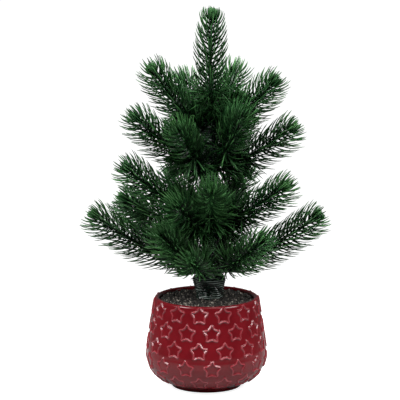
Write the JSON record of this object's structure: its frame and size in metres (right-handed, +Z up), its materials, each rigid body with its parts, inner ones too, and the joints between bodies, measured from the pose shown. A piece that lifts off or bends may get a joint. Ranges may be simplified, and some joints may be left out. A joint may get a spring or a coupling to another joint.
{
  "type": "artificial tabletop tree",
  "caption": "Artificial tabletop spruce with moulded sprigs on bendable wire stems, a tape-wound trunk and a round-bellied glazed pot with raised star outlines.",
  "frame": {"origin": "centre of the pot's foot ring, on the surface that it stands on, under the middle of the tree's box", "axes": "+Z up along the trunk and the pot's axis, -Y the front, +X the right seen from the front"},
  "size_m": [0.2443, 0.1532, 0.4],
  "materials": {
    "glaze": "gloss",
    "cement": "matte",
    "foam": "matte",
    "soil": "matte",
    "steel": "satin",
    "tape": "gloss",
    "stem_coat": "satin",
    "needles": "satin"
  },
  "bodies": {
    "pot_and_trunk": {"pot": "glaze", "ballast": "cement", "foam_plug": "foam", "soil_bed": "soil", "trunk_core": "steel", "root_collar": "tape", "lower_wrap": "tape", "upper_wrap": "tape"},
    "bottom_front": {"bottom_front_stem": "stem_coat", "bottom_front_sprig": "needles"},
    "bottom_front_right": {"bottom_front_right_stem": "stem_coat", "bottom_front_right_sprig": "needles"},
    "bottom_right": {"bottom_right_stem": "stem_coat", "bottom_right_sprig": "needles"},
    "bottom_back_right": {"bottom_back_right_stem": "stem_coat", "bottom_back_right_sprig": "needles"},
    "bottom_back_left": {"bottom_back_left_stem": "stem_coat", "bottom_back_left_sprig": "needles"},
    "bottom_left": {"bottom_left_stem": "stem_coat", "bottom_left_sprig": "needles"},
    "bottom_front_left": {"bottom_front_left_stem": "stem_coat", "bottom_front_left_sprig": "needles"},
    "middle_front": {"middle_front_stem": "stem_coat", "middle_front_sprig": "needles"},
    "middle_right": {"middle_right_stem": "stem_coat", "middle_right_sprig": "needles"},
    "middle_back_right": {"middle_back_right_stem": "stem_coat", "middle_back_right_sprig": "needles"},
    "middle_back_left": {"middle_back_left_stem": "stem_coat", "middle_back_left_sprig": "needles"},
    "middle_left": {"middle_left_stem": "stem_coat", "middle_left_sprig": "needles"},
    "middle_front_left": {"middle_front_left_stem": "stem_coat", "middle_front_left_sprig": "needles"},
    "middle_inner_left": {"middle_inner_left_stem": "stem_coat", "middle_inner_left_sprig": "needles"},
    "upper_front_right": {"upper_front_right_stem": "stem_coat", "upper_front_right_sprig": "needles"},
    "upper_right": {"upper_right_stem": "stem_coat", "upper_right_sprig": "needles"},
    "upper_back_right": {"upper_back_right_stem": "stem_coat", "upper_back_right_sprig": "needles"},
    "upper_back_left": {"upper_back_left_stem": "stem_coat", "upper_back_left_sprig": "needles"},
    "upper_left": {"upper_left_stem": "stem_coat", "upper_left_sprig": "needles"},
    "upper_front": {"upper_front_stem": "stem_coat", "upper_front_sprig": "needles"},
    "top_right": {"top_right_stem": "stem_coat", "top_right_sprig": "needles"},
    "top_rear_right": {"top_rear_right_stem": "stem_coat", "top_rear_right_sprig": "needles"},
    "top_back_right": {"top_back_right_stem": "stem_coat", "top_back_right_sprig": "needles"},
    "top_back_left": {"top_back_left_stem": "stem_coat", "top_back_left_sprig": "needles"},
    "top_left": {"top_left_stem": "stem_coat", "top_left_sprig": "needles"},
    "leader": {"leader_stem": "stem_coat", "leader_sprig": "needles"}
  },
  "joints": [
    {"name": "bottom_front_bend", "type": "hinge", "parent": "pot_and_trunk", "child": "bottom_front", "pos_m": [-0.00031, -0.01154, 0.122], "axis": [-0.9613, 0.2756, 0], "range_deg": [-12, 12]},
    {"name": "bottom_front_right_bend", "type": "hinge", "parent": "pot_and_trunk", "child": "bottom_front_right", "pos_m": [0.01039, -0.00946, 0.122], "axis": [-0.788, -0.6157, 0], "range_deg": [-12, 12]},
    {"name": "bottom_right_bend", "type": "hinge", "parent": "pot_and_trunk", "child": "bottom_right", "pos_m": [0.01488, -0.00167, 0.124], "axis": [-0.1392, -0.9903, 0], "range_deg": [-12, 12]},
    {"name": "bottom_back_right_bend", "type": "hinge", "parent": "pot_and_trunk", "child": "bottom_back_right", "pos_m": [0.00651, 0.01148, 0.124], "axis": [0.9563, -0.2924, 0], "range_deg": [-12, 12]},
    {"name": "bottom_back_left_bend", "type": "hinge", "parent": "pot_and_trunk", "child": "bottom_back_left", "pos_m": [-0.00695, 0.00671, 0.124], "axis": [0.5592, 0.829, 0], "range_deg": [-12, 12]},
    {"name": "bottom_left_bend", "type": "hinge", "parent": "pot_and_trunk", "child": "bottom_left", "pos_m": [-0.00897, -0.00084, 0.124], "axis": [-0.0698, 0.9976, 0], "range_deg": [-12, 12]},
    {"name": "bottom_front_left_bend", "type": "hinge", "parent": "pot_and_trunk", "child": "bottom_front_left", "pos_m": [-0.00503, -0.00892, 0.122], "axis": [-0.7431, 0.6691, 0], "range_deg": [-12, 12]},
    {"name": "middle_front_bend", "type": "hinge", "parent": "pot_and_trunk", "child": "middle_front", "pos_m": [0.00331, -0.00899, 0.172], "axis": [-0.9994, -0.0349, 0], "range_deg": [-12, 12]},
    {"name": "middle_right_bend", "type": "hinge", "parent": "pot_and_trunk", "child": "middle_right", "pos_m": [0.01095, -0.00422, 0.172], "axis": [-0.4695, -0.8829, 0], "range_deg": [-12, 12]},
    {"name": "middle_back_right_bend", "type": "hinge", "parent": "pot_and_trunk", "child": "middle_back_right", "pos_m": [0.00777, 0.00763, 0.172], "axis": [0.848, -0.5299, 0], "range_deg": [-12, 12]},
    {"name": "middle_back_left_bend", "type": "hinge", "parent": "pot_and_trunk", "child": "middle_back_left", "pos_m": [-0.00242, 0.00719, 0.168], "axis": [0.7986, 0.6018, 0], "range_deg": [-12, 12]},
    {"name": "middle_left_bend", "type": "hinge", "parent": "pot_and_trunk", "child": "middle_left", "pos_m": [-0.00586, 0.00156, 0.163], "axis": [0.1736, 0.9848, 0], "range_deg": [-12, 12]},
    {"name": "middle_front_left_bend", "type": "hinge", "parent": "pot_and_trunk", "child": "middle_front_left", "pos_m": [-0.00479, -0.0045, 0.178], "axis": [-0.5, 0.866, 0], "range_deg": [-12, 12]},
    {"name": "middle_inner_left_bend", "type": "hinge", "parent": "pot_and_trunk", "child": "middle_inner_left", "pos_m": [-0.00109, -0.00802, 0.168], "axis": [-0.891, 0.454, 0], "range_deg": [-12, 12]},
    {"name": "upper_front_right_bend", "type": "hinge", "parent": "pot_and_trunk", "child": "upper_front_right", "pos_m": [0.00814, -0.00613, 0.23], "axis": [-0.766, -0.6428, 0], "range_deg": [-12, 12]},
    {"name": "upper_right_bend", "type": "hinge", "parent": "pot_and_trunk", "child": "upper_right", "pos_m": [0.01096, -0.00084, 0.228], "axis": [-0.1045, -0.9945, 0], "range_deg": [-12, 12]},
    {"name": "upper_back_right_bend", "type": "hinge", "parent": "pot_and_trunk", "child": "upper_back_right", "pos_m": [0.00663, 0.00713, 0.232], "axis": [0.891, -0.454, 0], "range_deg": [-12, 12]},
    {"name": "upper_back_left_bend", "type": "hinge", "parent": "pot_and_trunk", "child": "upper_back_left", "pos_m": [-0.00076, 0.00706, 0.23], "axis": [0.8829, 0.4695, 0], "range_deg": [-12, 12]},
    {"name": "upper_left_bend", "type": "hinge", "parent": "pot_and_trunk", "child": "upper_left", "pos_m": [-0.00406, -0.00376, 0.23], "axis": [-0.4695, 0.8829, 0], "range_deg": [-12, 12]},
    {"name": "upper_front_bend", "type": "hinge", "parent": "pot_and_trunk", "child": "upper_front", "pos_m": [-0.001, -0.00693, 0.228], "axis": [-0.866, 0.5, 0], "range_deg": [-12, 12]},
    {"name": "top_right_bend", "type": "hinge", "parent": "pot_and_trunk", "child": "top_right", "pos_m": [0.01061, -0.00247, 0.266], "axis": [-0.309, -0.9511, 0], "range_deg": [-12, 12]},
    {"name": "top_rear_right_bend", "type": "hinge", "parent": "pot_and_trunk", "child": "top_rear_right", "pos_m": [0.01025, 0.00338, 0.266], "axis": [0.4226, -0.9063, 0], "range_deg": [-12, 12]},
    {"name": "top_back_right_bend", "type": "hinge", "parent": "pot_and_trunk", "child": "top_back_right", "pos_m": [0.00625, 0.00731, 0.27], "axis": [0.9135, -0.4067, 0], "range_deg": [-12, 12]},
    {"name": "top_back_left_bend", "type": "hinge", "parent": "pot_and_trunk", "child": "top_back_left", "pos_m": [-0.00063, 0.00713, 0.27], "axis": [0.891, 0.454, 0], "range_deg": [-12, 12]},
    {"name": "top_left_bend", "type": "hinge", "parent": "pot_and_trunk", "child": "top_left", "pos_m": [-0.00425, -0.00338, 0.268], "axis": [-0.4226, 0.9063, 0], "range_deg": [-12, 12]},
    {"name": "leader_bend", "type": "hinge", "parent": "pot_and_trunk", "child": "leader", "pos_m": [0.003, 0, 0.278], "axis": [0, -1, 0], "range_deg": [-12, 12]}
  ]
}
